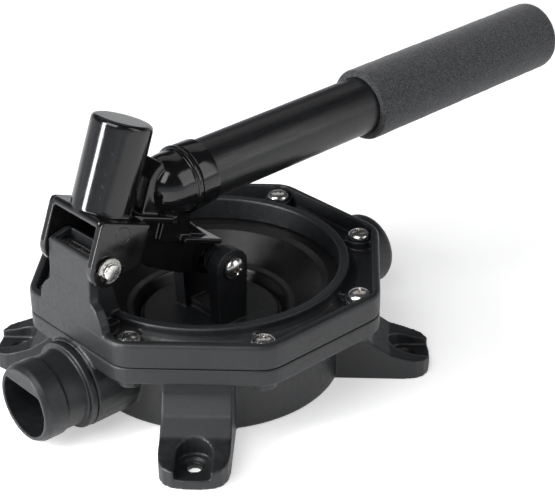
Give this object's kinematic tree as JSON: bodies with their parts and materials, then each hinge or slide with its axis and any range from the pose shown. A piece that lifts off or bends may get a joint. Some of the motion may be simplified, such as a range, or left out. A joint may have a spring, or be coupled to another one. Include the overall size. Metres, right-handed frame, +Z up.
{
  "type": "bilge pump",
  "caption": "Hand-operated diaphragm pump with in-line hose spigots, a footed body under a bolted clamp ring, and a rocking lever with a foam-gripped handle.",
  "frame": {"origin": "centre of the flat underside of the pump body, on the axis of the round chamber", "axes": "+Z up through the diaphragm's centre; +X along the flow, from the inlet spigot under the fulcrum post to the outlet spigot, the way the handle points"},
  "size_m": [0.3645, 0.1746, 0.1549],
  "materials": {
    "moulding": "satin black glass-filled nylon",
    "gloss_moulding": "glossy black nylon",
    "tube": "semi-gloss black plastic tube",
    "foam": "closed-cell foam, dark grey",
    "rubber": "matte black rubber",
    "steel": "bright stainless steel"
  },
  "bodies": {
    "base": {"pump_body": "moulding", "clamp_ring": "moulding", "clamp_screw_1": "steel", "clamp_screw_2": "steel", "clamp_screw_3": "steel", "clamp_screw_4": "steel", "clamp_screw_5": "steel", "clamp_screw_6": "steel", "clamp_screw_7": "steel", "clamp_screw_8": "steel", "inlet_spigot": "moulding", "outlet_spigot": "moulding", "inlet_o_ring": "rubber", "outlet_o_ring": "rubber", "inlet_valve_seat": "moulding", "outlet_valve_seat": "moulding", "diaphragm": "rubber", "fulcrum_pin": "steel", "retaining_clip_near": "steel", "retaining_clip_far": "steel"},
    "lever_arm": {"lever": "gloss_moulding", "handle_tube": "tube", "handle_collar": "gloss_moulding", "handle_end_plug": "moulding", "foam_grip": "foam"},
    "diaphragm_drive": {"diaphragm_clevis": "moulding", "backing_plate": "moulding", "plate_screw_1": "steel", "plate_screw_2": "steel", "link_screw": "steel", "link_nut": "steel", "link_bush_near": "moulding", "link_bush_far": "moulding"},
    "inlet_valve": {"inlet_flap": "rubber"},
    "outlet_valve": {"outlet_flap": "rubber"}
  },
  "joints": [
    {"name": "lever_pivot", "type": "hinge", "parent": "base", "child": "lever_arm", "pos_m": [-0.077, 0, 0.0905], "axis": [0, -1, 0], "range_deg": [0, 32]},
    {"name": "diaphragm_stroke", "type": "slide", "parent": "base", "child": "diaphragm_drive", "axis": [0, 0, 1], "range_m": [0, 0.0452], "deforming": ["diaphragm"]},
    {"name": "inlet_valve_hinge", "type": "hinge", "parent": "base", "child": "inlet_valve", "pos_m": [-0.0715, 0, 0.0316], "axis": [0, -1, 0], "range_deg": [0, 35]},
    {"name": "outlet_valve_hinge", "type": "hinge", "parent": "base", "child": "outlet_valve", "pos_m": [0.0765, 0, 0.0316], "axis": [0, -1, 0], "range_deg": [0, 35]}
  ],
  "couplings": [
    {"joint": "diaphragm_stroke", "follows": "lever_pivot", "m_per_rad": 0.0805}
  ]
}
